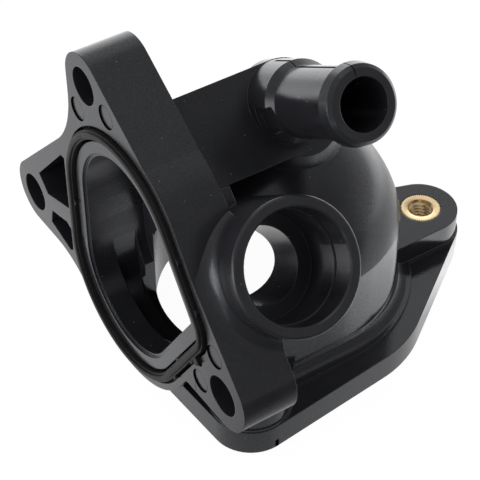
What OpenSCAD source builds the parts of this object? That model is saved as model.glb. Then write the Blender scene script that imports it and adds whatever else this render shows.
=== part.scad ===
// Moulded coolant outlet housing with a profile seal and three brass inserts.
// Millimetres, Z up. The chamber axis is the Z axis and the base rests on z = 0.
// The seal face looks to -X, the hose port and the small hose pipe look to -Y.

/* [Base plate] */
// thickness of the base plate
base_t = 6.7; // [5.5:0.1:7]
// radius of the round middle of the base plate
base_r = 38.5; // [37.5:0.5:39.5]
// reach of the base plate at its front corner, between two ears
base_front = 40; // [39:0.5:42]
// rounding radius of that front corner
base_front_r = 30; // [24:1:34]
// radius of the circle that the three inserts stand on
insert_circle_r = 42.4; // [41:0.1:45]
// rounding radius of the three base ears
base_ear_r = 9.8; // [9.7:0.1:12]
// direction of the first insert, the others stand a third of a turn apart
insert_turn = -9.8; // [-14:0.2:-5]
// height of the insert bosses above the bottom
boss_h = 13; // [11:0.5:16]
// radius of an insert boss at its outer end
boss_r = 9.3; // [8:0.1:9.4]
// radius of the first insert boss where it meets the chamber, the others run straight
boss_root_r = 12; // [10:0.5:13]
// height of the narrow step at the foot of the chamber
step_h = 7.4; // [7:0.1:9]
// width of the narrow step outside the foot fillet
step_w = 1.1; // [0.6:0.1:1.6]

/* [Chamber] */
// outside radius of the round chamber
chamber_r = 31.4; // [30.5:0.1:32]
// radius of the round bore of the chamber and of its domed end
bore_r = 28; // [27:0.1:28.4]
// height of the sill where the bore opens towards the head
sill_z = 5.4; // [4:0.1:8]
// place of the rear wall of the passage towards the head, y
passage_rear = 15.2; // [14:0.2:16]
// distance of the front wall of that passage from the chamber axis
passage_front = 27.4; // [26:0.1:27.6]
// half the width of that passage where it enters the head flange
passage_neck = 13.5; // [12:0.1:14]
// wall thickness of the passages and the arm
wall = 2.9; // [2.4:0.1:3.6]
// height of the crease between the straight wall and the dome
crease_z = 28; // [26:0.5:30]
// outside radius of the dome
dome_r = 32; // [32:0.1:34]
// height of the dome centre
dome_z = 22; // [20:0.5:22]
// radius of the fillet at the foot of the chamber
foot_r = 2.8; // [1.5:0.1:3.2]

/* [Head flange] */
// distance from the chamber axis to the seal face
head_reach = 41; // [40:0.5:44]
// thickness of the head flange
head_t = 13.5; // [12:0.5:15]
// radius of the rear and front bolt holes
bolt_hole_r = 4.9; // [4.2:0.1:5.2]
// radius of the top bolt hole
top_hole_r = 4.5; // [4:0.1:5]
// radius of the rear ear
rear_ear_r = 8.2; // [7.6:0.1:9]
// radius of the top ear
top_ear_r = 7.8; // [7.2:0.1:8.6]
// radius of the front ear
front_ear_r = 8.6; // [8:0.1:9]
// top bolt hole, y and z
top_hole = [10.5, 75.4];
// rear bolt hole, y and z
rear_hole = [41.8, 23.4];
// front bolt hole, y and z
front_hole = [-42.4, 26];
// radius of the gentle bend in the front flank
bend_r = 14; // [11:0.5:16]
// radius of the hollow curve between the top ear and the rear ear
crook_r = 26; // [18:1:30]
// radius of the hollow curve under the rear ear
sweep_r = 21; // [12:1:22]
// radius of the hollow curve under the front ear
hollow_r = 3; // [2:0.5:5]
// depth of the two pockets beside the rear ear
pocket_d = 9; // [4:0.5:10]
// thickness of the web between the pockets and the seal rim
web_t = 0.2; // [0.1:0.1:0.6]
// upper pocket: its tip beside the rear ear, its top corner and its rib corner, y and z
upper_pocket = [[38.5, 31.8], [25.2, 46.6], [34.6, 27.9]];
// lower pocket: its two corners beside the rear ear and the rib corner, y and z
lower_pocket = [[34.2, 19.3], [33.2, 23.6], [25.6, 25.6]];
// depth of the round moulding marks
mark_d = 0.35; // [0.2:0.05:0.6]
// radius of the round moulding marks
mark_r = 2.8; // [2.2:0.1:3]
// heights where the two sides of the rib between the pockets meet the web
rib_z = [24.6, 31.2];
// height of the bottom corner of the lower pocket
lower_pocket_z = 16.8; // [16.5:0.1:17.5]
// places of the round moulding marks, y and z
marks = [[14.2, 67], [1.3, 73], [-39.5, 35.5], [-33.5, 22.8]];

/* [Seal opening] */
// radius of the opening round its upper centre
upper_r = 18.8; // [18:0.1:19]
// radius of the opening round its lower centre
lower_r = 17.8; // [17:0.1:18]
// corner radius of the opening on its front side
corner_r = 2.5; // [2:0.1:3.5]
// width of the lip between the opening and the seal groove
lip_w = 2.8; // [2.4:0.1:3]
// width of the seal groove
groove_w = 3.6; // [3.4:0.1:3.8]
// depth of the seal groove
groove_d = 3.5; // [2.5:0.1:4.5]
// width of the rim outside the seal groove
rim_w = 1.7; // [1.4:0.1:1.8]
// drop of the floor of the opening behind the seal groove
floor_drop = 3.6; // [2:0.1:3.7]
// depth of the stepped entry of the opening
entry_d = 0.6; // [0.4:0.1:3]
// width of the stepped entry of the opening
entry_w = 0.8; // [0.4:0.1:1.2]

/* [Seal] */
// width of the rubber seal
seal_w = 2.2; // [2:0.1:2.8]
// height that the seal stands out of the groove
seal_proud = 1.4; // [1:0.1:1.8]
// width of the narrow crest of the seal
crest_w = 1.2; // [0.8:0.1:1.6]
// height of the narrow crest of the seal
crest_h = 0.6; // [0.3:0.1:0.8]
// gap between the seal nubs and the groove walls
seal_gap = 0.02; // [0.02:0.01:0.1]
// radius of the seal nubs
nub_r = 0.9; // [0.7:0.1:1.1]
// radius of the locating tab of the seal
tab_r = 1.1; // [0.9:0.1:1.3]
// room round the locating tab
tab_room = 0.5; // [0.3:0.1:0.8]
// place of the locating tab along the lower front side, as a share of it
tab_share = 0.2; // [0.1:0.02:0.4]
// spacing of the seal nubs along each straight side, as a share of it
nub_share = 0.3; // [0.24:0.02:0.3]

/* [Hose port] */
// upward tilt of the port axis
port_tilt = 37; // [34:1:40]
// centre of the port mouth, x y z
port_mouth = [-21.5, -42.2, 53.4];
// outside radius of the port
port_r = 15.2; // [14.8:0.1:15.6]
// radius of the outer bore of the port
port_bore_r = 12.5; // [11.5:0.1:13]
// depth of the outer bore of the port
port_bore_d = 17; // [12:0.1:17.5]
// radius of the deep part of that bore, which takes the seal ring
port_seal_r = 12.2; // [11.2:0.1:12.4]
// depth where the deep part begins
port_seal_z = 6.7; // [4:0.1:9]
// radius of the inner bore of the port
port_throat_r = 8.8; // [8:0.1:10]
// size of the lead-in chamfer at the port mouth
port_lead = 0.4; // [0.3:0.1:1]
// length from the port mouth to the inner end of its bore, inside the chamber
port_reach = 46; // [45:1:48]
// radius of the fillet between the port and the flank of the head flange
port_root_r = 4.5; // [2:0.5:5]
// edge rounding of the port mouth
port_edge = 0.8; // [0.4:0.1:1]

/* [Hose pipe] */
// upward tilt of the pipe axis
pipe_tilt = 31; // [29:1:34]
// centre of the pipe mouth, x y z
pipe_mouth = [0.3, -33.6, 80.8];
// outside radius of the plain pipe
pipe_r = 8; // [7.6:0.1:8.3]
// radius of the pipe bore
pipe_bore_r = 5.8; // [5:0.1:6.2]
// radius of the bead that holds the hose, at its back edge
bead_r = 9; // [8.6:0.1:9.2]
// length of the bead from the pipe mouth to its back edge
bead_len = 3.4; // [3:0.1:4]
// taper of the bead from its back edge to its front edge
bead_taper = 0.5; // [0.2:0.1:0.7]
// length of the slope behind the bead
bead_back = 1.2; // [0.8:0.1:1.6]
// length of the chamfer at the pipe mouth
mouth_lead = 0.8; // [0.4:0.1:1.2]
// outside radius of the flat ring at the pipe mouth
mouth_r = 7.6; // [7:0.1:7.9]
// radius of the collar at the root of the pipe
collar_r = 9.4; // [9:0.1:9.8]
// length of the pipe from the mouth to the face it stands on
pipe_len = 31.8; // [29:0.1:34]
// length of the collar above that face
collar_len = 6.8; // [5:0.1:8]
// length of the cone between the collar and the plain pipe
collar_taper = 1.8; // [0.8:0.1:2.4]
// width of the notch in the collar
notch_w = 6; // [3:0.5:6.5]
// length of the notch in the collar
notch_len = 4.6; // [3:0.2:5]
// direction of the notch round the pipe
notch_turn = 188; // [170:2:230]

/* [Pipe arm] */
// half the height of the arm that carries the pipe
arm_half = 10.9; // [10.5:0.1:12]
// thickness of the arm
arm_t = 14; // [12:0.5:16]
// tilt of the arm face
arm_tilt = 45; // [42:1:48]
// radius of the riser between the arm and the dome
riser_r = 12.8; // [11:0.1:13]
// centre of the riser, x y
riser_at = [3, -2];
// radius of the passage inside the riser
riser_bore_r = 8; // [5:0.5:8.5]
// height of the top of that passage
riser_bore_z = 55; // [53:0.5:56]
// distance that the riser stays under the arm's face
riser_set = 1.5; // [1:0.5:4]
// height of the riser along the arm's face, above the pipe axis
riser_up = 2; // [0:0.5:4]

/* [Inserts] */
// outside radius of the brass inserts
insert_r = 5.15; // [4.5:0.05:5.5]
// length of the brass inserts
insert_len = 11.5; // [8:0.5:12]
// radius of the threaded bore
thread_r = 2.6; // [2.4:0.1:2.8]
// radius of the chamfer at the mouth of the thread
thread_mouth_r = 3.2; // [3:0.1:3.6]
// gap between an insert and its hole
insert_gap = 0.02; // [0.02:0.01:0.1]
// number of teeth of the knurl
knurl_teeth = 40; // [30:1:44]
// depth of the knurl
knurl_d = 0.22; // [0.1:0.02:0.3]
// radius of the screw hole below each insert
screw_hole_r = 3.4; // [3.2:0.1:3.8]

/* [Hidden] */
$fn = 44;
// small overlap that lets cuts run through their faces
over = 1;
// inset of straight sides where they run into arcs
tuck = 0.01;
// size of the blocks that cut a whole side away
far = 60;
head_x = -head_reach;
head_back = head_x + head_t;
// length of the wall round the opening behind the flange
throat_len = 4.5;
// length of the port's outside, from its mouth into the chamber
port_stem = 34;
// length that the pipe runs on inside the arm
pipe_root = 6;
// sideways size and height of the bevel at the bottom of the lower pocket
pocket_bevel = [1.5, 1];
// distance that the step at the foot of a boss stays inside its base ear
step_in = 0.2;
// distance between the inner and the outer round of the locating tab
tab_len = 1;
// distance that the top of the port's fillet lies inside the port
port_root_set = 0.3;
upper = [-3.5, 43.8, upper_r];
corner = [-27.9, 37.6, corner_r];
lower = [-2.3, 26.2, lower_r];
opening = [upper, corner, lower];
rim_out = lip_w + groove_w + rim_w;
seal_mid = lip_w + groove_w / 2;
bend = [-8.65, 55.35, bend_r];
top_ear = [top_hole[0], top_hole[1], top_ear_r];
front_ear = [front_hole[0], front_hole[1], front_ear_r];
insert_at = [for (k = [0:2])
    [insert_circle_r * cos(insert_turn + 120 * k), insert_circle_r * sin(insert_turn + 120 * k)]];
passage_h = crease_z - wall - sill_z;
// distance of the inner end of a boss from the chamber axis
boss_in = 0.6 * insert_circle_r;
// the front corner of the base plate lies half way between its first and its last ear
front_turn = insert_turn - 60;
front_corner = [
    (base_front - base_front_r) * cos(front_turn),
    (base_front - base_front_r) * sin(front_turn),
    base_front_r,
];
arm_mid = [0, pipe_mouth[1] + pipe_len * cos(pipe_tilt), pipe_mouth[2] - pipe_len * sin(pipe_tilt)];
// distance that the middle of the arm lies below the pipe axis, along the arm's face
arm_drop = 1.1;

// direction of the outer side that two circles share, seen from the first
function lean(a, b) =
    atan2(b[1] - a[1], b[0] - a[0]) - acos((a[2] - b[2]) / norm([b[0] - a[0], b[1] - a[1]]));

// point on a grown circle in a direction
function rim_point(c, turn, grow) =
    [c[0] + (c[2] + grow) * cos(turn), c[1] + (c[2] + grow) * sin(turn)];

// point on the side between two grown circles, at a share of its length
function side_point(a, b, share, grow) =
    rim_point(a, lean(a, b), grow) * (1 - share) + rim_point(b, lean(a, b), grow) * share;

// outline round circles that are listed counterclockwise, like a belt round pulleys
module belt(circles, grow = 0) {
    n = len(circles);
    polygon([for (i = [0:n - 1]) for (k = [0:1])
        rim_point(circles[(i + k) % n], lean(circles[i], circles[(i + 1) % n]), grow - tuck)]);
    for (c = circles)
        translate([c[0], c[1]])
            circle(r = c[2] + grow);
}

// turns a drawing in y and z into a slab that starts at x and grows along +X
module along_x(x, thickness) {
    translate([x, 0, 0])
        rotate([90, 0, 90])
            linear_extrude(height = thickness)
                children();
}

// places a turned body on an axis that leans up from -Y, its own Z pointing out of the mouth
module on_axis(mouth, tilt) {
    translate(mouth)
        rotate([90 - tilt, 0, 0])
            children();
}

// outline of the head flange in y and z
module head_outline() {
    shoulder = top_hole[0] + top_ear_r;
    slope_y = rear_hole[0] + rear_ear_r * cos(45);
    slope_z = rear_hole[1] + rear_ear_r * sin(45);
    nook_z = slope_z + slope_y - shoulder;
    run = crook_r * tan(22.5);
    belt(opening, rim_out);
    belt([top_ear, bend, front_ear]);
    ear_web(rear_hole, rear_ear_r, sweep_r, 1);
    ear_web(front_hole, front_ear_r, hollow_r, -1);
    translate(rear_hole)
        circle(r = rear_ear_r);
    difference() {
        polygon([
            top_hole,
            [shoulder, top_hole[1]],
            [shoulder, nook_z + run],
            [shoulder + run * cos(45), nook_z - run * sin(45)],
            [slope_y, slope_z],
            rear_hole,
            [lower[0], lower[1]],
        ]);
        translate([shoulder + crook_r, nook_z + run])
            circle(r = crook_r + 2 * tuck);
    }
}

// web from an ear to the round bottom of the flange: level under the ear, then a hollow curve
// side is 1 towards the rear and -1 towards the front
module ear_web(hole, r, hollow, side) {
    round_r = lower_r + rim_out;
    under_z = hole[1] - r;
    hollow_z = under_z - hollow;
    hollow_y = lower[0] + side * sqrt(pow(round_r + hollow, 2) - pow(lower[1] - hollow_z, 2));
    meet = round_r / (round_r + hollow);
    difference() {
        polygon([
            hole,
            [hole[0], under_z + tuck],
            [hollow_y, under_z + tuck],
            [lower[0] + (hollow_y - lower[0]) * meet, lower[1] + (hollow_z - lower[1]) * meet],
            [lower[0], lower[1]],
        ]);
        translate([hollow_y, hollow_z])
            circle(r = hollow + 2 * tuck);
    }
}

// the two pockets beside the rear ear, split by a rib
module pockets() {
    web = upper[0] + upper_r + rim_out + web_t;
    polygon([
        upper_pocket[0],
        upper_pocket[1],
        [web, upper_pocket[1][1]],
        [web, rib_z[1]],
        upper_pocket[2],
    ]);
    polygon([
        lower_pocket[0],
        lower_pocket[1],
        lower_pocket[2],
        [web, rib_z[0]],
        [web, lower_pocket_z + pocket_bevel[1]],
        [web + pocket_bevel[0], lower_pocket_z],
    ]);
}

// plan of the chamber wall: round, with a straight front that runs to the head flange
module chamber_plan(r, reach, rear) {
    circle(r = r);
    translate([-reach, -r])
        square([reach, r + rear]);
}

// radial section of the dome above the crease
module dome_section(r) {
    intersection() {
        translate([0, dome_z])
            circle(r = r);
        translate([0, crease_z])
            square([r, r]);
    }
}

// radial section of the chamber's bore with its domed end
module bore_section() {
    translate([0, -over])
        square([bore_r, dome_z + over]);
    intersection() {
        translate([0, dome_z])
            circle(r = bore_r - tuck);
        translate([0, dome_z - over])
            square([bore_r, bore_r + over]);
    }
}

// concave fillet section at the foot of the chamber, its corner at the wall
module foot_section() {
    difference() {
        translate([-over, 0])
            square([over + foot_r, foot_r]);
        translate([foot_r, foot_r])
            circle(r = foot_r);
    }
}

// plan of one insert boss
module boss_plan(k, grow = 0) {
    turn = insert_turn + 120 * k;
    root_r = k == 0 ? boss_root_r : boss_r;
    belt([
        [insert_at[k][0], insert_at[k][1], boss_r],
        [boss_in * cos(turn), boss_in * sin(turn), root_r],
    ], grow);
}

// circle of one ear of the base plate
function base_ear(k) = [insert_at[k][0], insert_at[k][1], base_ear_r];

// base plate with its bosses and the narrow foot step
module base_body() {
    linear_extrude(height = base_t)
        belt([base_ear(0), [0, 0, base_r], base_ear(1), [0, 0, base_r], base_ear(2), front_corner]);
    linear_extrude(height = step_h) {
        chamber_plan(chamber_r + foot_r + step_w, head_reach - head_t, 0);
        for (k = [0:2])
            boss_plan(k, min(step_w, base_ear_r - boss_r - step_in));
    }
    linear_extrude(height = boss_h)
        for (k = [0:2])
            boss_plan(k);
}

// chamber wall, dome and foot fillet
module chamber_body() {
    linear_extrude(height = crease_z)
        chamber_plan(chamber_r, head_reach - head_t, passage_rear + wall);
    rotate_extrude()
        dome_section(dome_r);
    translate([0, 0, step_h])
        rotate_extrude(angle = 180, start = -90)
            translate([chamber_r, 0])
                foot_section();
    translate([head_back, -chamber_r, step_h])
        rotate([90, 0, 90])
            linear_extrude(height = -head_back)
                mirror([1, 0])
                    foot_section();
}

// places a drawing on the tilted face of the arm, its own Z pointing out of that face
module arm_frame() {
    translate(arm_mid)
        rotate([90 - arm_tilt, 0, 0])
            children();
}

// plan of the arm on that face: a bar with a round end
module arm_plan(half, start) {
    translate([pipe_mouth[0], -arm_drop])
        circle(r = half);
    translate([start, -arm_drop - half + tuck])
        square([pipe_mouth[0] - start, 2 * half - 2 * tuck]);
}

// riser between the dome and the arm, cut off under the slope of the arm
module riser_body() {
    intersection() {
        translate([riser_at[0], riser_at[1], dome_z])
            cylinder(r = riser_r, h = far);
        arm_frame()
            translate([-far / 2, riser_up - far, -riser_set - far])
                cube([far, far, far]);
    }
}

// wall round the opening behind the flange, cut off where it would stand out of the arm's face
module throat_body() {
    difference() {
        along_x(head_back - over, throat_len + over)
            belt(opening, wall);
        arm_frame()
            translate([-far, -arm_drop - arm_half + tuck, -tuck])
                cube([far, far, far]);
    }
}

// outside of the port, turned round its axis with the mouth at zero
module port_body() {
    on_axis(port_mouth, port_tilt)
        rotate_extrude() {
            translate([0, -port_stem])
                square([port_r, port_stem - port_edge]);
            translate([0, -port_edge - tuck])
                square([port_r - port_edge, port_edge + tuck]);
            translate([port_r - port_edge, -port_edge])
                circle(r = port_edge, $fn = 32);
        }
}

// fillet between the port and the flank, turned round the flank's normal where the port axis meets it
module port_root() {
    turn = lean(bend, front_ear);
    normal = [cos(turn), sin(turn)];
    mouth = [port_mouth[1], port_mouth[2]];
    out = [-cos(port_tilt), sin(port_tilt)];
    root = mouth - out * ((mouth - rim_point(bend, turn, 0)) * normal) / (out * normal);
    arc_r = port_r + port_root_r - port_root_set;
    intersection() {
        on_axis([port_mouth[0], root[0], root[1]], 180 - turn)
            rotate_extrude()
                difference() {
                    translate([0, -over])
                        square([arc_r, port_root_r + over]);
                    translate([arc_r, port_root_r])
                        circle(r = port_root_r + tuck);
                }
        translate([head_x + tuck, -2 * head_reach, 0])
            cube([head_t - 2 * tuck, 2 * head_reach, 3 * head_reach]);
    }
}

// outside of the pipe: chamfered bead, plain pipe and root collar with a notch
module pipe_body() {
    on_axis(pipe_mouth, pipe_tilt)
        difference() {
            rotate_extrude()
                polygon([
                    [0, 0],
                    [mouth_r, 0],
                    [bead_r - bead_taper, -mouth_lead],
                    [bead_r, -bead_len],
                    [pipe_r, -bead_len - bead_back],
                    [pipe_r, collar_len + collar_taper - pipe_len],
                    [collar_r, collar_len - pipe_len],
                    [collar_r, -pipe_len - pipe_root],
                    [0, -pipe_len - pipe_root],
                ]);
            rotate([0, 0, notch_turn])
                translate([pipe_r + tuck, -notch_w / 2, collar_len - pipe_len - notch_len])
                    cube([collar_r, notch_w, notch_len + collar_taper + over]);
        }
}

// everything hollow inside the housing
module waterways() {
    // chamber bore and passage towards the head
    rotate_extrude()
        bore_section();
    translate([head_back + wall, -passage_front, sill_z])
        cube([-head_back - wall, passage_front + passage_rear, passage_h]);
    translate([head_back - 2 * over, lower[0] - passage_neck, sill_z])
        cube([wall + 3 * over, 2 * passage_neck, passage_h]);
    // seal opening
    along_x(head_x - over, entry_d + over)
        belt(opening);
    along_x(head_x, head_t + throat_len - wall)
        belt(opening, -entry_w);
    along_x(head_x + groove_d + wall, head_t - groove_d - wall - over)
        translate([0, -floor_drop])
            belt(opening, -entry_w);
    // hose port
    on_axis(port_mouth, port_tilt) {
        translate([0, 0, -port_reach])
            cylinder(r = port_throat_r, h = port_reach);
        translate([0, 0, -port_bore_d])
            cylinder(r = port_seal_r, h = port_bore_d);
        translate([0, 0, -port_seal_z])
            cylinder(r = port_bore_r, h = port_seal_z + over);
        translate([0, 0, -port_lead])
            cylinder(r1 = port_bore_r, r2 = port_bore_r + port_lead + over, h = port_lead + over);
    }
    // hose pipe, arm and riser
    on_axis(pipe_mouth, pipe_tilt)
        translate([0, 0, -pipe_len - pipe_root - over])
            cylinder(r = pipe_bore_r, h = pipe_len + pipe_root + 2 * over);
    arm_frame()
        translate([0, 0, wall - arm_t])
            linear_extrude(height = arm_t - 2 * wall)
                arm_plan(arm_half - wall, head_back - wall);
    translate([riser_at[0], riser_at[1], dome_z])
        cylinder(r = riser_bore_r, h = riser_bore_z - dome_z);
}

// black moulded body
module housing() {
    color([0.09, 0.09, 0.1])
    difference() {
        union() {
            base_body();
            chamber_body();
            along_x(head_x, head_t)
                head_outline();
            throat_body();
            arm_frame()
                translate([0, 0, -arm_t])
                    linear_extrude(height = arm_t)
                        arm_plan(arm_half, head_back - over);
            riser_body();
            port_body();
            port_root();
            pipe_body();
        }
        waterways();
        // seal groove with the notch for the locating tab
        along_x(head_x - over, groove_d + over)
            difference() {
                union() {
                    belt(opening, lip_w + groove_w);
                    translate(side_point(corner, lower, tab_share, lip_w + groove_w))
                        circle(r = tab_r + tab_room, $fn = 32);
                }
                belt(opening, lip_w);
            }
        // bolt holes
        along_x(head_x - over, head_t + 2 * over) {
            translate(top_hole)
                circle(r = top_hole_r);
            for (p = [rear_hole, front_hole])
                translate(p)
                    circle(r = bolt_hole_r);
        }
        along_x(head_x - over, pocket_d + over)
            pockets();
        along_x(head_x - over, mark_d + over)
            for (p = marks)
                translate(p)
                    circle(r = mark_r, $fn = 40);
        // insert holes
        for (p = insert_at) {
            translate([p[0], p[1], boss_h - insert_len - insert_gap])
                cylinder(r = insert_r + insert_gap, h = insert_len + insert_gap + over);
            translate([p[0], p[1], -over])
                cylinder(r = screw_hole_r, h = boss_h);
        }
    }
}

// plan of a band that follows the middle of the seal groove
module band(width) {
    difference() {
        belt(opening, seal_mid + width / 2);
        belt(opening, seal_mid - width / 2);
    }
}

// black rubber seal with a narrow crest and with nubs that hold it in the groove
module seal() {
    wide = groove_w / 2 - seal_gap - nub_r;
    color([0.05, 0.05, 0.055])
    union() {
        along_x(head_x - seal_proud, crest_h + tuck)
            band(crest_w);
        along_x(head_x - seal_proud + crest_h, groove_d + seal_proud - crest_h - seal_gap) {
            band(seal_w);
            for (i = [0:2])
                for (k = [0:2])
                    translate(side_point(opening[i], opening[(i + 1) % 3], nub_share * (k + 1),
                        seal_mid + wide * (k % 2 == 0 ? 1 : -1)))
                        circle(r = nub_r, $fn = 24);
            for (back = [0, tab_len])
                translate(side_point(corner, lower, tab_share, lip_w + groove_w - back))
                    circle(r = tab_r, $fn = 24);
        }
    }
}

// three brass threaded inserts, alike, knurled outside
module inserts() {
    color([0.8, 0.62, 0.3])
    for (p = insert_at)
        translate([p[0], p[1], boss_h - insert_len])
            difference() {
                linear_extrude(height = insert_len)
                    polygon([for (i = [0:2 * knurl_teeth - 1])
                        (insert_r - (i % 2) * knurl_d)
                            * [cos(180 * i / knurl_teeth), sin(180 * i / knurl_teeth)]]);
                translate([0, 0, -over])
                    cylinder(r = thread_r, h = insert_len + 2 * over, $fn = 40);
                translate([0, 0, insert_len - thread_mouth_r + thread_r])
                    cylinder(r1 = thread_r, r2 = thread_mouth_r + over,
                        h = thread_mouth_r - thread_r + over, $fn = 40);
            }
}

housing();
seal();
inserts();
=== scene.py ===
"""Looks of a moulded coolant outlet housing: black plastic body, rubber seal and brass inserts.

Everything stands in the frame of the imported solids: the chamber axis is Z, the base rests on z = 0, the seal
face looks to -X, the hose port and the hose pipe look to -Y. Sizes and places named here are in millimetres
unless their comment says otherwise; Blender gets them in metres.
"""

import bpy
import numpy as np
from mathutils import Matrix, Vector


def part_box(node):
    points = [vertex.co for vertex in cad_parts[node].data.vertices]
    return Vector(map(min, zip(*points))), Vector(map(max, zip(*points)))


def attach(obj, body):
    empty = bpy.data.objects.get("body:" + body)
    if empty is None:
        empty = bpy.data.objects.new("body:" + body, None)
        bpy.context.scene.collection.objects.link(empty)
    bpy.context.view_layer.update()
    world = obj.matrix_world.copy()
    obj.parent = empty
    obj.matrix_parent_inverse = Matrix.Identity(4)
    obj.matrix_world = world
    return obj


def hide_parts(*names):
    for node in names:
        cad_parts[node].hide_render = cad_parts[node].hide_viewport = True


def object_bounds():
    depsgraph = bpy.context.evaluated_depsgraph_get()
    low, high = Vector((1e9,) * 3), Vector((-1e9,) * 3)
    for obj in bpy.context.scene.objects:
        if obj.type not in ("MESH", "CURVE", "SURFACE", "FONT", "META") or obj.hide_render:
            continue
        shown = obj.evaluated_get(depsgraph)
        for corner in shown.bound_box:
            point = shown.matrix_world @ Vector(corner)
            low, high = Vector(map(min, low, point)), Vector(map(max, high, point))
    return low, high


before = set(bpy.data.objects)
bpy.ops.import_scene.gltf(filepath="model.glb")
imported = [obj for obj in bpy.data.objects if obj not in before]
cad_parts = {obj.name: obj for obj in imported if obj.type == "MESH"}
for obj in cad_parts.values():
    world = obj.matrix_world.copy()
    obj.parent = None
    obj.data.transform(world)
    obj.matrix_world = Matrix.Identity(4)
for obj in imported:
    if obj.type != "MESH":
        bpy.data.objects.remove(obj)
CAD_LOW, CAD_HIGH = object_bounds()
MM = 0.001
AXIS_X, AXIS_Y, AXIS_Z = np.eye(3)

# Camera of the photograph: place, its right, down and forward directions, lens, sensor width, and the nearest
# and farthest distance that it sees, in metres
CAMERA_PLACE = np.array([-164.4, -237.4, 282.8])
CAMERA_RIGHT = np.array([0.832, -0.555, -0.007])
CAMERA_DOWN = np.array([-0.379, -0.560, -0.737])
CAMERA_FORWARD = np.array([0.405, 0.616, -0.676])
CAMERA_LENS = 120.75
CAMERA_SENSOR = 36.0
CAMERA_NEAR = 0.01
CAMERA_FAR = 20.0

# Level directions of the studio, seen from the camera: away behind the object and to the right
STUDIO_BACK = np.array([0.55, 0.836, 0.0])
STUDIO_RIGHT = np.array([0.836, -0.55, 0.0])
# Brightness of the surroundings, where white is 1: strip behind low and high, sides low and high, front left,
# front right and overhead
LOW_BACK_LIGHT = 1.9
HIGH_BACK_LIGHT = 0.85
LOW_SIDE_LIGHT = 0.75
HIGH_SIDE_LIGHT = 0.36
FRONT_LEFT_LIGHT = 0.4
FRONT_RIGHT_LIGHT = 0.28
OVERHEAD_LIGHT = 0.45
# Shares of a direction that point up, behind or right, between which the surroundings change
STRIP_NARROWS_UP = (0.2, 0.65)
STRIP_HALF_WIDTHS = (0.55, 0.25)
STRIP_EDGE = (0.8, 1.25)
STRIP_DIMS_UP = (0.4, 0.62)
STRIP_STARTS_BEHIND = (-0.2, 0.05)
SIDES_DIM_UP = (0.1, 0.5)
SIDES_START_BEHIND = (-0.5, 0.1)
FRONT_DIMS_RIGHT = (-0.7, 0.1)
OVERHEAD_STARTS_UP = (0.7, 0.85)
# Softbox on the left: place, point it looks at and size, in metres, and power in watts
CARD_PLACE = (-0.66, 0.0, 0.2)
CARD_AIM = (-0.03, -0.03, 0.05)
CARD_SIZE = 0.36
CARD_POWER = 1.15

# Floor: radius in metres, points on its rim, gap under the base, grey of its paper and of the surface that
# takes the shadow
FLOOR_R = 3.0
FLOOR_POINTS = 64
FLOOR_GAP = 0.02
FLOOR_PAPER = (0.8, 0.8, 0.8, 1.0)
FLOOR_SHADE = (0.1, 0.1, 0.1, 1.0)
# Brightness of the floor to the eye, and in mirrored rays before, beside and behind the object
FLOOR_EYE = 0.965
FLOOR_FRONT = 0.05
FLOOR_BESIDE = 0.85
FLOOR_BEHIND = 1.8
# Distances behind or to the right of the chamber axis between which the floor's glow in mirrored rays changes
FRONT_BRIGHTENS = (-85.0, -30.0)
LEFT_ENDS = (-140.0, -90.0)
BEHIND_BRIGHTENS = (40.0, 120.0)
PATCH_STARTS_RIGHT = (34.0, 46.0)
PATCH_ENDS_RIGHT = (66.0, 78.0)
PATCH_STARTS_BEHIND = (-60.0, -35.0)
PATCH_ENDS_BEHIND = (15.0, 35.0)

# Seal opening: y, z and radius of the circles that its outline runs round, counterclockwise
OPENING = np.array([(-3.5, 43.8, 18.8), (-27.9, 37.6, 2.5), (-2.3, 26.2, 17.8)])
# Seal: distance of its middle line from the opening, half its width, half the groove, the crest's height and
# half the crest's width
SEAL_MID = 4.6
SEAL_HALF = 1.1
GROOVE_HALF = 1.8
CREST_H = 0.6
CREST_HALF = 0.62
# Nubs of the seal: radius, distance of their centres from the middle line, places along each straight side
NUB_R = 0.9
NUB_SIDE = 0.88
NUB_SHARES = (0.3, 0.6, 0.9)
# Locating tab of the seal: radius and place along the side from the corner to the lower circle
TAB_R = 1.1
TAB_SHARE = 0.2
# Seal's mesh: spacing along the groove, points over the crest and up each wall, least angle of a crisp edge
SEAL_SPACING = 0.15
CREST_POINTS = 13
SEAL_WALL_POINTS = 3
SEAL_CRISP = 50.0

# Inserts: circle they stand on, direction of the first, how many, radius, knurl, thread and mouth
INSERT_CIRCLE_R = 42.4
INSERT_TURN = np.radians(-9.8)
INSERT_COUNT = 3
INSERT_R = 5.15
KNURL_TEETH = 56
KNURL_D = 0.45
THREAD_PITCH = 1.0
THREAD_CREST_R = 2.48
THREAD_ROOT_R = 3.15
THREAD_MOUTH_R = 3.3
# Chamfers of an insert's upper edges: height of both and width of the knurl's, and width of the mouth's
INSERT_CHAMFER = 0.05
MOUTH_CHAMFER = 0.1
# Inserts' mesh: points in each tooth and in each pitch, least angle of a crisp edge
TOOTH_POINTS = 4
PITCH_POINTS = 8
INSERT_CRISP = 35.0

# Hose pipe: centre of its mouth and upward tilt of its axis
PIPE_MOUTH = np.array([0.3, -33.6, 80.8])
PIPE_TILT = np.radians(31.0)
PIPE_AXIS = np.array([0.0, -np.cos(PIPE_TILT), np.sin(PIPE_TILT)])
PIPE_UP = np.array([0.0, np.sin(PIPE_TILT), np.cos(PIPE_TILT)])
# Parting line along the top of the pipe, drawn dark as painted shade of its small step: half its width, thin
# on the bead and on the collar's cone, and wide on the plain pipe and on the collar
PARTING_THIN = 0.16
PARTING_WIDE = 0.7
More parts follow.
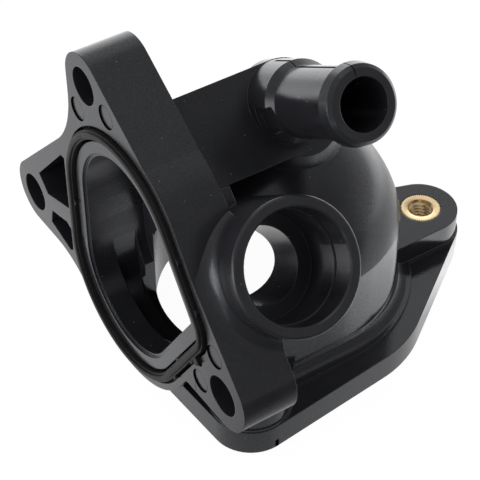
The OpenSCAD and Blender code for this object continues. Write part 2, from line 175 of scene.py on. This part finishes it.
# Distances behind the mouth, and last one above the pipe's axis, between which the parting line changes
BEAD_ENDS = (3.4, 4.4)
PLAIN_PIPE_ENDS = (22.4, 23.0)
COLLAR_STARTS = (25.0, 25.4)
PARTING_ENDS = (31.5, 32.0)
PARTING_STARTS_UP = (6.0, 6.5)

# Chamber wall: radius, and how far to each side of it the slope is shaded on its round and on its flat part
WALL_R = 31.4
ROUND_WALL_REACH = 0.4
FLAT_WALL_REACH = 0.25
# Distances to the left of the chamber axis between which the flat part starts
FLAT_WALL_STARTS = (0.0, 0.5)
# Slope of the wall, and the heights between which it starts at the foot, fades to upright and is cut off
WALL_SLOPE = 0.25
WALL_FOOT = (9.2, 9.8)
WALL_FLARE = (13.0, 27.8)
WALL_ENDS = (27.7, 27.8)
# Further slope at the wall's right end: distances to the right between which it starts, share of the slope
RIGHT_END_STARTS = (9.0, 17.0)
RIGHT_END_SHARE = 0.6
# Polish of the low outside: distance from the chamber axis where it starts, height where it ends
POLISH_STARTS = (30.5, 31.0)
POLISH_ENDS_UP = (26.5, 28.0)
# Dull passage behind the seal opening: distance to the left where it starts, soft edge round the opening
PASSAGE_STARTS = (22.0, 23.0)
PASSAGE_EDGE = 0.3

# Gate mark on the front of the base: its place along x, distances to the front between which it starts,
# heights between which it ends, and half its width
GATE_X = -26.5
GATE_STARTS = (41.6, 41.8)
GATE_ENDS_UP = (2.1, 2.5)
GATE_HALF = 0.7
# Moulding marks on the seal face: y and z of their centres, their radius, half the width of the painted shade
# line round each recess rim, and the depths between which that painted shade ends
MARK_CENTRES = ((14.2, 67.0), (1.3, 73.0), (-39.5, 35.5), (-33.5, 22.8))
MARK_R = 2.8
MARK_SHADE_LINE = 0.14
MARK_ENDS = (2.0, 2.2)
# Share of a drawn line's half width that is fully dark
LINE_CORE = 0.6

# Range that nearly all values of a noise lie in, its roughness, and its detail in clouds and in grain
NOISE_SPAN = (0.3, 0.7)
NOISE_ROUGHNESS = 0.6
CLOUD_DETAIL = 2.0
GRAIN_DETAIL = 3.0
# Share of a speck's radius that is fully pale
SPECK_CORE = 0.5
# Black plastic: darkest and lightest tint, black of its painted shade lines and of the gate mark, tint and
# index
# # of its gloss
PLASTIC_DARK = (0.022, 0.0222, 0.0265)
PLASTIC_LIGHT = (0.028, 0.0283, 0.0335)
SHADE_LINE_AND_GATE_BLACK = (0.002, 0.002, 0.002, 1.0)
PLASTIC_GLOSS = (0.93, 0.955, 1.0, 1.0)
PLASTIC_IOR = 1.58
# Specks in the plastic: tint, spacing and radius
PLASTIC_SPECK = (0.3, 0.3, 0.3, 1.0)
PLASTIC_SPECK_SPACING = 3.2
PLASTIC_SPECK_R = 0.15
# Roughness of the plastic's skin, what polish takes off it and what dullness adds to it
SKIN_ROUGHNESS = (0.2, 0.27)
POLISH = 0.09
DULLNESS = 0.1
# Sizes of the plastic's clouds and mottle, range of gloss over the mottle
PLASTIC_CLOUD = 9.0
PLASTIC_MOTTLE = 0.35
MOTTLE_GLOSS = (0.35, 0.65)
# Grain of the plastic: size, detail, depth and strength
PLASTIC_GRAIN = 0.5
PLASTIC_GRAIN_DETAIL = 4.0
PLASTIC_GRAIN_DEPTH = 0.02
PLASTIC_GRAIN_STRENGTH = 0.6
# Rounding of the plastic's edges, and the samples that it is averaged from
EDGE_R = 0.3
EDGE_SAMPLES = 6
# Black rubber: darkest and lightest tint, index of its gloss, roughness
RUBBER_DARK = (0.009, 0.009, 0.009)
RUBBER_LIGHT = (0.015, 0.015, 0.015)
RUBBER_IOR = 1.45
RUBBER_ROUGHNESS = (0.5, 0.62)
# Specks in the rubber: tint, spacing and radius
RUBBER_SPECK = (0.2, 0.2, 0.2, 1.0)
RUBBER_SPECK_SPACING = 1.6
RUBBER_SPECK_R = 0.1
# Sizes of the rubber's clouds and grain, depth and strength of the grain
RUBBER_CLOUD = 4.0
RUBBER_GRAIN = 0.25
RUBBER_GRAIN_DEPTH = 0.02
RUBBER_GRAIN_STRENGTH = 0.4
# Pale brass: tints, roughness, sizes of its clouds and grain, depth and strength of the grain
BRASS_DARK = (0.84, 0.63, 0.36)
BRASS_LIGHT = (0.92, 0.72, 0.45)
BRASS_ROUGHNESS = (0.24, 0.34)
BRASS_CLOUD = 1.5
BRASS_GRAIN = 0.2
BRASS_GRAIN_DEPTH = 0.01
BRASS_GRAIN_STRENGTH = 0.4


def socket_defaults(node, **values):
    """Sets constants on a shader node's own sockets; a name's underscores stand for spaces."""
    for name, value in values.items():
        node.inputs[name.replace("_", " ")].default_value = value


def put(tree, socket, value):
    """Joins an output to a socket, or sets the socket's constant."""
    if isinstance(value, bpy.types.NodeSocket):
        tree.links.new(value, socket)
    else:
        socket.default_value = value


def new_material(name):
    """An empty node material with its output and one Principled shader, joined."""
    material = bpy.data.materials.new(name)
    material.use_nodes = True
    tree = material.node_tree
    tree.nodes.clear()
    output = tree.nodes.new("ShaderNodeOutputMaterial")
    shader = tree.nodes.new("ShaderNodeBsdfPrincipled")
    tree.links.new(shader.outputs["BSDF"], output.inputs["Surface"])
    return material, tree, shader


def calc(tree, operation, first, second=0.0):
    """One Math node."""
    node = tree.nodes.new("ShaderNodeMath")
    node.operation = operation
    put(tree, node.inputs[0], first)
    put(tree, node.inputs[1], second)
    return node.outputs["Value"]


def product(tree, first, *others):
    """Product of all the values."""
    for other in others:
        first = calc(tree, "MULTIPLY", first, other)
    return first


def greatest(tree, first, *others):
    """Greatest of all the values."""
    for other in others:
        first = calc(tree, "MAXIMUM", first, other)
    return first


def vector(tree, operation, first, second=None):
    """One Vector Math node; it gives a number for a length, a distance or a dot product, or else a vector."""
    node = tree.nodes.new("ShaderNodeVectorMath")
    node.operation = operation
    put(tree, node.inputs[0], first)
    if second is not None:
        put(tree, node.inputs[1], second)
    return node.outputs["Value" if operation in ("LENGTH", "DISTANCE", "DOT_PRODUCT") else "Vector"]


def map_range(tree, value, low, high, to_low, to_high):
    """A straight change of range, held at its ends."""
    node = tree.nodes.new("ShaderNodeMapRange")
    for name, number in zip(("From Min", "From Max", "To Min", "To Max"), (low, high, to_low, to_high)):
        node.inputs[name].default_value = number
    tree.links.new(value, node.inputs["Value"])
    return node.outputs["Result"]


def fade(tree, length, start, end, low=0.0, high=1.0):
    """Goes straight from low to high as a length in metres goes from start to end, given in millimetres."""
    return map_range(tree, length, start * MM, end * MM, low, high)


def band(tree, length, half):
    """1 where a length in metres is within half a width of zero, given in millimetres, with a soft end."""
    return fade(tree, calc(tree, "ABSOLUTE", length), LINE_CORE * half, half, 1.0, 0.0)


def object_place(tree):
    """Object coordinates, which are metres in the frame."""
    return tree.nodes.new("ShaderNodeTexCoord").outputs["Object"]


def along(tree, place, direction, start=np.zeros(3)):
    """Distance of a place along a direction: the dot product of the direction and the way to the place, in
    metres, from the start, in millimetres."""
    return vector(tree, "DOT_PRODUCT", vector(tree, "SUBTRACT", place, tuple(start * MM)), tuple(direction))


def from_chamber_axis(tree, place):
    """Distance from the chamber axis: the length of the place's x and y."""
    return vector(tree, "LENGTH", vector(tree, "MULTIPLY", place, (1.0, 1.0, 0.0)))


def across_seal_face(tree, place, y, z):
    """Distance from a point of the seal face, measured in its plane, so in y and z only."""
    flat = vector(tree, "MULTIPLY", place, (0.0, 1.0, 1.0))
    return vector(tree, "DISTANCE", flat, (0.0, y * MM, z * MM))


def noise(tree, place, size, detail):
    """Noise whose grains measure about the given size in millimetres."""
    node = tree.nodes.new("ShaderNodeTexNoise")
    socket_defaults(node, Scale=1.0 / (size * MM), Detail=detail, Roughness=NOISE_ROUGHNESS)
    tree.links.new(place, node.inputs["Vector"])
    return node.outputs["Fac"]


def specks(tree, place, spacing, radius):
    """Mask of round specks of a radius, about one in each cube of the given spacing, both in millimetres."""
    node = tree.nodes.new("ShaderNodeTexVoronoi")
    socket_defaults(node, Scale=1.0 / (spacing * MM))
    tree.links.new(place, node.inputs["Vector"])
    share = radius / spacing
    return map_range(tree, node.outputs["Distance"], SPECK_CORE * share, share, 1.0, 0.0)


def tint_ramp(tree, cloud, dark, light):
    """Colour that goes from dark to light over a noise's usual range."""
    node = tree.nodes.new("ShaderNodeValToRGB")
    for element, position, colour in zip(node.color_ramp.elements, NOISE_SPAN, (dark, light)):
        element.position = position
        element.color = (*colour, 1.0)
    tree.links.new(cloud, node.inputs["Fac"])
    return node.outputs["Color"]


def blend(tree, mask, first, second):
    """Colour that goes from the first to the second as the mask goes from 0 to 1."""
    node = tree.nodes.new("ShaderNodeMix")
    node.data_type = "RGBA"
    put(tree, node.inputs["Factor"], mask)
    colours = [socket for socket in node.inputs if socket.type == "RGBA"]
    put(tree, colours[0], first)
    put(tree, colours[1], second)
    return next(socket for socket in node.outputs if socket.type == "RGBA")


def bump(tree, height, depth, strength, normal=None):
    """Normal of a bump of the given real depth in millimetres."""
    node = tree.nodes.new("ShaderNodeBump")
    socket_defaults(node, Distance=depth * MM, Strength=strength)
    tree.links.new(height, node.inputs["Height"])
    if normal is not None:
        tree.links.new(normal, node.inputs["Normal"])
    return node.outputs["Normal"]


def rounded_edges(tree, radius):
    """Normal that rounds every edge by a radius in millimetres."""
    node = tree.nodes.new("ShaderNodeBevel")
    node.samples = EDGE_SAMPLES
    socket_defaults(node, Radius=radius * MM)
    return node.outputs["Normal"]


def parting_line_shade(tree, place):
    """Mask of painted shade along the moulding's real parting line, standing for the shade of its small step:
    a strip in the upright plane through the pipe's axis, on the upper side of the pipe only, from its mouth
    back to the collar, wider on the plain pipe and on the collar."""
    side = calc(tree, "ABSOLUTE", along(tree, place, AXIS_X, PIPE_MOUTH))
    back = along(tree, place, -PIPE_AXIS, PIPE_MOUTH)
    on_pipe = product(tree, fade(tree, back, *BEAD_ENDS), fade(tree, back, *PLAIN_PIPE_ENDS, 1.0, 0.0))
    wide = greatest(tree, on_pipe, fade(tree, back, *COLLAR_STARTS))
    half = map_range(tree, wide, 0.0, 1.0, PARTING_THIN * MM, PARTING_WIDE * MM)
    strip = map_range(tree, calc(tree, "DIVIDE", side, half), LINE_CORE, 1.0, 1.0, 0.0)
    above = fade(tree, along(tree, place, PIPE_UP, PIPE_MOUTH), *PARTING_STARTS_UP)
    return product(tree, strip, above, fade(tree, back, *PARTING_ENDS, 1.0, 0.0))


def gate_mark(tree, place):
    """Mask of the gate mark: a short dark upright line low on the front wall of the base."""
    line = band(tree, along(tree, place, AXIS_X, GATE_X * AXIS_X), GATE_HALF)
    low = fade(tree, along(tree, place, AXIS_Z), *GATE_ENDS_UP, 1.0, 0.0)
    return product(tree, line, low, fade(tree, along(tree, place, -AXIS_Y), *GATE_STARTS))


def mark_outline_shade(tree, place):
    """Mask of painted shade round the rims of the moulding marks' recesses: on the seal face, the distance
    from a mark's centre differs from the mark's radius by less than half the line."""
    distances = [across_seal_face(tree, place, y, z) for y, z in MARK_CENTRES]
    rings = [band(tree, calc(tree, "SUBTRACT", distance, MARK_R * MM), MARK_SHADE_LINE) for distance in distances]
    inward = along(tree, place, AXIS_X, CAD_LOW.x / MM * AXIS_X)
    return product(tree, greatest(tree, *rings), fade(tree, inward, *MARK_ENDS, 1.0, 0.0))


def skin_roughness(tree, place, cloud):
    """Roughness of the moulded skin: satin, duller in the passage behind the seal opening, and polished low
    on the outside, where the chamber wall and the base are."""
    discs = [fade(tree, across_seal_face(tree, place, y, z), r, r + PASSAGE_EDGE, 1.0, 0.0)
             for y, z, r in OPENING[::2]]
    passage = product(tree, greatest(tree, *discs), fade(tree, along(tree, place, -AXIS_X), *PASSAGE_STARTS))
    low = fade(tree, along(tree, place, AXIS_Z), *POLISH_ENDS_UP, 1.0, 0.0)
    outside = product(tree, low, fade(tree, from_chamber_axis(tree, place), *POLISH_STARTS))
    skin = map_range(tree, cloud, *NOISE_SPAN, *SKIN_ROUGHNESS)
    polished = calc(tree, "SUBTRACT", skin, product(tree, outside, POLISH))
    return calc(tree, "ADD", polished, product(tree, passage, DULLNESS))


def flared_wall(tree, place, normal):
    """Normal of the chamber wall, which flares towards its foot and its right end: on the round wall, and on
    the flat wall that runs on from it to the left, the slope there times the upward direction is added."""
    off_round = calc(tree, "SUBTRACT", from_chamber_axis(tree, place), WALL_R * MM)
    off_flat = along(tree, place, AXIS_Y, -WALL_R * AXIS_Y)
    flat_wall = product(tree, band(tree, off_flat, FLAT_WALL_REACH),
                        fade(tree, along(tree, place, -AXIS_X), *FLAT_WALL_STARTS))
    wall = greatest(tree, band(tree, off_round, ROUND_WALL_REACH), flat_wall)
    height = along(tree, place, AXIS_Z)
    slope = fade(tree, height, *WALL_FOOT, 0.0, WALL_SLOPE)
    flare = calc(tree, "ADD", fade(tree, height, *WALL_FLARE, 1.0, 0.0),
                 fade(tree, along(tree, place, AXIS_X), *RIGHT_END_STARTS, 0.0, RIGHT_END_SHARE))
    upward = tree.nodes.new("ShaderNodeCombineXYZ")
    put(tree, upward.inputs["Z"], product(tree, wall, slope, flare, fade(tree, height, *WALL_ENDS, 1.0, 0.0)))
    return vector(tree, "NORMALIZE", vector(tree, "ADD", normal, upward.outputs["Vector"]))


def body_plastic():
    """Black glass-filled plastic: moulded skin with fine grain and mottled gloss, a few pale specks, rounded
    edges, and dark lines without gloss: the gate mark, and painted shade along the parting line's step and
    round the rims of the moulding marks' recesses."""
    material, tree, shader = new_material("black_plastic")
    place = object_place(tree)
    cloud = noise(tree, place, PLASTIC_CLOUD, CLOUD_DETAIL)
    # Painted shade: the parting line and the marks' outlines are painted black, in place of the shade of their
    # small steps and recess rims; the gate mark shares this black
    shade_lines_and_gate = greatest(tree, parting_line_shade(tree, place), mark_outline_shade(tree, place), gate_mark(tree, place))
    tint = tint_ramp(tree, cloud, PLASTIC_DARK, PLASTIC_LIGHT)
    tint = blend(tree, specks(tree, place, PLASTIC_SPECK_SPACING, PLASTIC_SPECK_R), tint, PLASTIC_SPECK)
    tree.links.new(blend(tree, shade_lines_and_gate, tint, SHADE_LINE_AND_GATE_BLACK), shader.inputs["Base Color"])
    tree.links.new(skin_roughness(tree, place, cloud), shader.inputs["Roughness"])
    mottle = noise(tree, place, PLASTIC_MOTTLE, CLOUD_DETAIL)
    # The painted shade lines and the gate mark lose their gloss
    gloss = product(tree, map_range(tree, mottle, *NOISE_SPAN, *MOTTLE_GLOSS),
                    map_range(tree, shade_lines_and_gate, 0.0, 1.0, 1.0, 0.0))
    tree.links.new(gloss, shader.inputs["Specular IOR Level"])
    socket_defaults(shader, IOR=PLASTIC_IOR, Specular_Tint=PLASTIC_GLOSS)
    wall = flared_wall(tree, place, rounded_edges(tree, EDGE_R))
    grain = noise(tree, place, PLASTIC_GRAIN, PLASTIC_GRAIN_DETAIL)
    normal = bump(tree, grain, PLASTIC_GRAIN_DEPTH, PLASTIC_GRAIN_STRENGTH, wall)
    tree.links.new(normal, shader.inputs["Normal"])
    return material


def seal_rubber():
    """Black rubber with a dull fine surface and a few pale specks."""
    material, tree, shader = new_material("black_rubber")
    place = object_place(tree)
    cloud = noise(tree, place, RUBBER_CLOUD, CLOUD_DETAIL)
    tint = tint_ramp(tree, cloud, RUBBER_DARK, RUBBER_LIGHT)
    tint = blend(tree, specks(tree, place, RUBBER_SPECK_SPACING, RUBBER_SPECK_R), tint, RUBBER_SPECK)
    tree.links.new(tint, shader.inputs["Base Color"])
    tree.links.new(map_range(tree, cloud, *NOISE_SPAN, *RUBBER_ROUGHNESS), shader.inputs["Roughness"])
    socket_defaults(shader, IOR=RUBBER_IOR)
    grain = noise(tree, place, RUBBER_GRAIN, GRAIN_DETAIL)
    normal = bump(tree, grain, RUBBER_GRAIN_DEPTH, RUBBER_GRAIN_STRENGTH)
    tree.links.new(normal, shader.inputs["Normal"])
    return material


def insert_brass():
    """Pale turned brass, a little uneven."""
    material, tree, shader = new_material("pale_brass")
    place = object_place(tree)
    cloud = noise(tree, place, BRASS_CLOUD, GRAIN_DETAIL)
    tree.links.new(tint_ramp(tree, cloud, BRASS_DARK, BRASS_LIGHT), shader.inputs["Base Color"])
    tree.links.new(map_range(tree, cloud, *NOISE_SPAN, *BRASS_ROUGHNESS), shader.inputs["Roughness"])
    socket_defaults(shader, Metallic=1.0)
    grain = noise(tree, place, BRASS_GRAIN, GRAIN_DETAIL)
    normal = bump(tree, grain, BRASS_GRAIN_DEPTH, BRASS_GRAIN_STRENGTH)
    tree.links.new(normal, shader.inputs["Normal"])
    return material


def grid_faces(rows, columns, first=0):
    """Quads over a grid of points that closes on itself both ways, numbered from a first point."""
    u, v = np.meshgrid(np.arange(rows), np.arange(columns), indexing="ij")
    over = (u + 1) % rows
    side = (v + 1) % columns
    corners = [u * columns + v, over * columns + v, over * columns + side, u * columns + side]
    return first + np.stack(corners, -1).reshape(-1, 4)


def add_piece(name, points, faces, finish, node, crisp):
    """A smooth piece from points in millimetres that takes the place of a solid of the frame, with the finish
    in its one material slot; edges that turn by more than the crisp angle in degrees stay sharp."""
    mesh = bpy.data.meshes.new(name)
    mesh.from_pydata((points * MM).tolist(), [], faces.tolist())
    mesh.shade_smooth()
    mesh.set_sharp_from_angle(angle=np.radians(crisp))
    mesh.materials.append(finish)
    piece = bpy.data.objects.new(name, mesh)
    bpy.context.scene.collection.objects.link(piece)
    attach(piece, "root")
    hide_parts(node)


def belt_path(circles, grow, spacing):
    """Path of a belt round grown circles: points, outward normals, the distance along the path, and the
    start and length of each straight side. An arc runs on circle c from the direction of the side before to
    that of the side after, and the direction of the side from a to b is that of b seen from a, less the
    angle whose cosine is the difference of their radii over their distance."""
    after = np.roll(circles, -1, 0)
    gap = after[:, :2] - circles[:, :2]
    length = np.hypot(gap[:, 0], gap[:, 1])
    lean = np.arctan2(gap[:, 1], gap[:, 0]) - np.arccos((circles[:, 2] - after[:, 2]) / length)
    sweep = (lean - np.roll(lean, 1)) % (2 * np.pi)
    side = np.sqrt(length ** 2 - (circles[:, 2] - after[:, 2]) ** 2)
    points, normals, distances, sides = [], [], [], []
    run = 0.0
    for c, last, arc, straight in zip(circles, lean, sweep, side):
        r = c[2] + grow
        turn = last - arc + np.linspace(0, arc, int(arc * r / spacing) + 2)
        out = np.stack([np.cos(turn), np.sin(turn)], 1)
        share = np.linspace(0, 1, int(straight / spacing) + 2)[1:-1]
        ahead = np.array([-out[-1, 1], out[-1, 0]])
        points += [c[:2] + r * out, c[:2] + r * out[-1] + straight * share[:, None] * ahead]
        normals += [out, np.repeat(out[-1:], len(share), 0)]
        distances += [run + r * (turn - turn[0]), run + r * arc + straight * share]
        sides.append((run + r * arc, straight))
        run += r * arc + straight
    return np.vstack(points), np.vstack(normals), np.concatenate(distances), sides


def widen(wall, away, radius, centre):
    """Half width of a wall with a round bulge: centre plus the root of radius squared less away squared."""
    bulge = centre + np.sqrt(np.maximum(radius ** 2 - away ** 2, 0.0))
    return np.where(np.abs(away) < radius, np.maximum(wall, bulge), wall)


def make_seal(finish):
    """Rubber seal: a closed section swept along the middle of the groove. Its two walls bulge at the nubs
    and at the tab, and on their flat shoulders runs a crest with a squarish round section: over half a turn,
    its half width times the root of the cosine, with its sign, and its height times the root of the sine."""
    low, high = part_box("seal")
    top = low.x / MM
    floor = high.x / MM
    shoulder = top + CREST_H
    place, normal, distance, sides = belt_path(OPENING, SEAL_MID, SEAL_SPACING)
    walls = [np.full(len(distance), SEAL_HALF), np.full(len(distance), SEAL_HALF)]
    for start, length in sides:
        for k, share in enumerate(NUB_SHARES):
            walls[k % 2] = widen(walls[k % 2], distance - start - share * length, NUB_R, NUB_SIDE)
    start, length = sides[1]
    walls[0] = widen(walls[0], distance - start - TAB_SHARE * length, TAB_R, GROOVE_HALF)
    turn = np.linspace(0, np.pi, CREST_POINTS)
    levels = np.linspace(floor, shoulder, SEAL_WALL_POINTS)
    across = np.sign(np.cos(turn)) * np.sqrt(np.abs(np.cos(turn)))
    crest = np.repeat(CREST_HALF * across[None], len(distance), 0)
    outer = np.repeat(walls[0][:, None], len(levels), 1)
    inner = np.repeat(-walls[1][:, None], len(levels), 1)
    offset = np.hstack([outer, crest, inner])
    x = np.concatenate([levels, shoulder - CREST_H * np.sqrt(np.abs(np.sin(turn))), levels[::-1]])
    yz = place[:, None] + offset[..., None] * normal[:, None]
    points = np.concatenate([np.broadcast_to(x[None, :, None], (*offset.shape, 1)), yz], -1)
    add_piece("profile_seal", points.reshape(-1, 3), grid_faces(*offset.shape), finish,
              "seal", SEAL_CRISP)


def make_inserts(finish):
    """Three brass inserts, each a closed section turned round its own axis: a knurled wall whose radius
    falls by the knurl's depth between teeth, a flat top, a chamfer, and a bore whose radius follows a
    triangle wave of one pitch that climbs one pitch in each turn."""
    low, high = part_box("inserts")
    floor = low.z / MM
    top = high.z / MM
    turn = np.linspace(0, 2 * np.pi, TOOTH_POINTS * KNURL_TEETH, endpoint=False)
    tooth = np.abs(2 * ((turn * KNURL_TEETH / (2 * np.pi)) % 1.0) - 1)
    knurl = INSERT_R - KNURL_D + KNURL_D * tooth
    depth = THREAD_MOUTH_R - THREAD_CREST_R
    z = np.linspace(top - depth, floor, int(PITCH_POINTS * (top - depth - floor) / THREAD_PITCH))
    wave = np.abs(2 * ((z[None] / THREAD_PITCH - turn[:, None] / (2 * np.pi)) % 1.0) - 1)
    mouth = THREAD_MOUTH_R - (top - z)[None]
    bore = np.maximum(THREAD_CREST_R + (THREAD_ROOT_R - THREAD_CREST_R) * wave, mouth)
    edge = top - INSERT_CHAMFER
    wall_levels = [floor, 0.5 * (floor + top), edge]
    wall = np.repeat(knurl[:, None], len(wall_levels), 1)
    ring = np.repeat(np.array([[THREAD_MOUTH_R + MOUTH_CHAMFER, THREAD_MOUTH_R]]), len(turn), 0)
    radius = np.hstack([wall, knurl[:, None] - INSERT_CHAMFER, ring, bore])
    height = np.concatenate([wall_levels, [top, top, edge], z])
    section = np.stack([radius * np.cos(turn)[:, None], radius * np.sin(turn)[:, None],
                        np.broadcast_to(height, radius.shape)], -1).reshape(-1, 3)
    points, faces = [], []
    for k in range(INSERT_COUNT):
        stand = INSERT_TURN + 2 * np.pi * k / INSERT_COUNT
        points.append(section + INSERT_CIRCLE_R * np.array([np.cos(stand), np.sin(stand), 0.0]))
        faces.append(grid_faces(*radius.shape, first=k * len(section)))
    add_piece("threaded_inserts", np.vstack(points), np.vstack(faces), finish,
              "inserts", INSERT_CRISP)


def dress_housing(finish):
    """Gives the moulded body its finish."""
    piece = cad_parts["housing"]
    piece.data.materials.clear()
    piece.data.materials.append(finish)


def mirrored_glow(tree, place):
    """Brightness of the floor in mirrored rays, the greatest of four at each place: dark before the object
    and white beside it, white far to the left, brighter behind it, and as bright in a patch on its right."""
    behind = along(tree, place, STUDIO_BACK)
    right = along(tree, place, STUDIO_RIGHT)
    ahead = fade(tree, behind, *FRONT_BRIGHTENS, FLOOR_FRONT, FLOOR_BESIDE)
    left = fade(tree, right, *LEFT_ENDS, FLOOR_BESIDE, 0.0)
    beyond = fade(tree, behind, *BEHIND_BRIGHTENS, 0.0, FLOOR_BEHIND)
    patch = product(tree, fade(tree, right, *PATCH_STARTS_RIGHT, 0.0, FLOOR_BEHIND),
                    fade(tree, right, *PATCH_ENDS_RIGHT, 1.0, 0.0),
                    fade(tree, behind, *PATCH_STARTS_BEHIND),
                    fade(tree, behind, *PATCH_ENDS_BEHIND, 1.0, 0.0))
    return greatest(tree, ahead, left, beyond, patch)


def floor_white():
    """A floor that the eye sees as white with a faint shadow, that mirrored rays see as a glow, and that
    passes on the light of plain white paper."""
    material, tree, shader = new_material("floor_white")
    tree.nodes.remove(shader)
    path = tree.nodes.new("ShaderNodeLightPath")
    glossy = path.outputs["Is Glossy Ray"]
    eye = greatest(tree, path.outputs["Is Camera Ray"], path.outputs["Is Transmission Ray"])
    paper = tree.nodes.new("ShaderNodeBsdfDiffuse")
    socket_defaults(paper, Color=FLOOR_PAPER)
    shade = tree.nodes.new("ShaderNodeBsdfDiffuse")
    socket_defaults(shade, Color=FLOOR_SHADE)
    glow = tree.nodes.new("ShaderNodeEmission")
    mirrored = product(tree, glossy, mirrored_glow(tree, object_place(tree)))
    tree.links.new(greatest(tree, product(tree, eye, FLOOR_EYE), mirrored), glow.inputs["Strength"])
    both = tree.nodes.new("ShaderNodeAddShader")
    tree.links.new(shade.outputs["BSDF"], both.inputs[0])
    tree.links.new(glow.outputs["Emission"], both.inputs[1])
    mix = tree.nodes.new("ShaderNodeMixShader")
    tree.links.new(greatest(tree, eye, glossy), mix.inputs["Fac"])
    tree.links.new(paper.outputs["BSDF"], mix.inputs[1])
    tree.links.new(both.outputs["Shader"], mix.inputs[2])
    tree.links.new(mix.outputs["Shader"], tree.nodes["Material Output"].inputs["Surface"])
    return material


def make_floor():
    """A wide floor disc just under the base: its rim is the floor's radius times the cosine and the sine."""
    turn = np.linspace(0, 2 * np.pi, FLOOR_POINTS, endpoint=False)
    level = CAD_LOW.z - FLOOR_GAP * MM
    rim = np.stack([FLOOR_R * np.cos(turn), FLOOR_R * np.sin(turn), np.full(len(turn), level)], 1)
    mesh = bpy.data.meshes.new("floor")
    mesh.from_pydata(rim.tolist(), [], [list(range(len(turn)))])
    mesh.materials.append(floor_white())
    floor = bpy.data.objects.new("floor", mesh)
    bpy.context.scene.collection.objects.link(floor)


def make_world():
    """White surroundings to the eye; as light, a bright strip behind the object that narrows and dims upward,
    a paler band low on both sides, a grey in front that dims to the right, and grey overhead."""
    world = bpy.data.worlds.new("studio")
    bpy.context.scene.world = world
    world.use_nodes = True
    tree = world.node_tree
    background = tree.nodes["Background"]
    socket_defaults(background, Color=(1.0, 1.0, 1.0, 1.0))
    direction = tree.nodes.new("ShaderNodeTexCoord").outputs["Generated"]
    up = along(tree, direction, AXIS_Z)
    behind = along(tree, direction, STUDIO_BACK)
    right = along(tree, direction, STUDIO_RIGHT)
    half = map_range(tree, up, *STRIP_NARROWS_UP, *STRIP_HALF_WIDTHS)
    off_middle = calc(tree, "DIVIDE", calc(tree, "ABSOLUTE", right), half)
    strip = product(tree, map_range(tree, off_middle, *STRIP_EDGE, 1.0, 0.0),
                    map_range(tree, behind, *STRIP_STARTS_BEHIND, 0.0, 1.0),
                    map_range(tree, up, *STRIP_DIMS_UP, LOW_BACK_LIGHT, HIGH_BACK_LIGHT))
    sides = product(tree, map_range(tree, up, *SIDES_DIM_UP, LOW_SIDE_LIGHT, HIGH_SIDE_LIGHT),
                    map_range(tree, behind, *SIDES_START_BEHIND, 0.0, 1.0))
    front = map_range(tree, right, *FRONT_DIMS_RIGHT, FRONT_LEFT_LIGHT, FRONT_RIGHT_LIGHT)
    overhead = map_range(tree, up, *OVERHEAD_STARTS_UP, 0.0, OVERHEAD_LIGHT)
    path = tree.nodes.new("ShaderNodeLightPath")
    eye = greatest(tree, path.outputs["Is Camera Ray"], path.outputs["Is Transmission Ray"])
    tree.links.new(greatest(tree, eye, strip, sides, front, overhead), background.inputs["Strength"])


def add_softbox(name, place, target, size, power):
    """A square area lamp at a place, looking at a target, all in metres."""
    lamp = bpy.data.lights.new(name, "AREA")
    lamp.shape = "SQUARE"
    lamp.size = size
    lamp.energy = power
    thing = bpy.data.objects.new(name, lamp)
    bpy.context.scene.collection.objects.link(thing)
    back = np.array(place) - np.array(target)
    back /= np.linalg.norm(back)
    side = np.cross(AXIS_Z, back)
    side /= np.linalg.norm(side)
    turn = np.eye(4)
    turn[:3, :3] = np.stack([side, np.cross(back, side), back], 1)
    turn[:3, 3] = place
    thing.matrix_world = Matrix(turn.tolist())


def make_camera():
    """The photograph's camera: the nearest true rotation to the measured directions."""
    rows = np.stack([CAMERA_RIGHT, -CAMERA_DOWN, -CAMERA_FORWARD])
    left, _, right = np.linalg.svd(rows)
    turn = np.eye(4)
    turn[:3, :3] = (left @ right).T
    turn[:3, 3] = CAMERA_PLACE * MM
    data = bpy.data.cameras.new("camera")
    data.sensor_width = CAMERA_SENSOR
    data.lens = CAMERA_LENS
    data.clip_start = CAMERA_NEAR
    data.clip_end = CAMERA_FAR
    camera = bpy.data.objects.new("camera", data)
    bpy.context.scene.collection.objects.link(camera)
    camera.matrix_world = Matrix(turn.tolist())
    bpy.context.scene.camera = camera


dress_housing(body_plastic())
make_seal(seal_rubber())
make_inserts(insert_brass())
make_floor()
make_world()
make_camera()
add_softbox("left_card", CARD_PLACE, CARD_AIM, CARD_SIZE, CARD_POWER)
bpy.context.scene.view_settings.view_transform = "Standard"
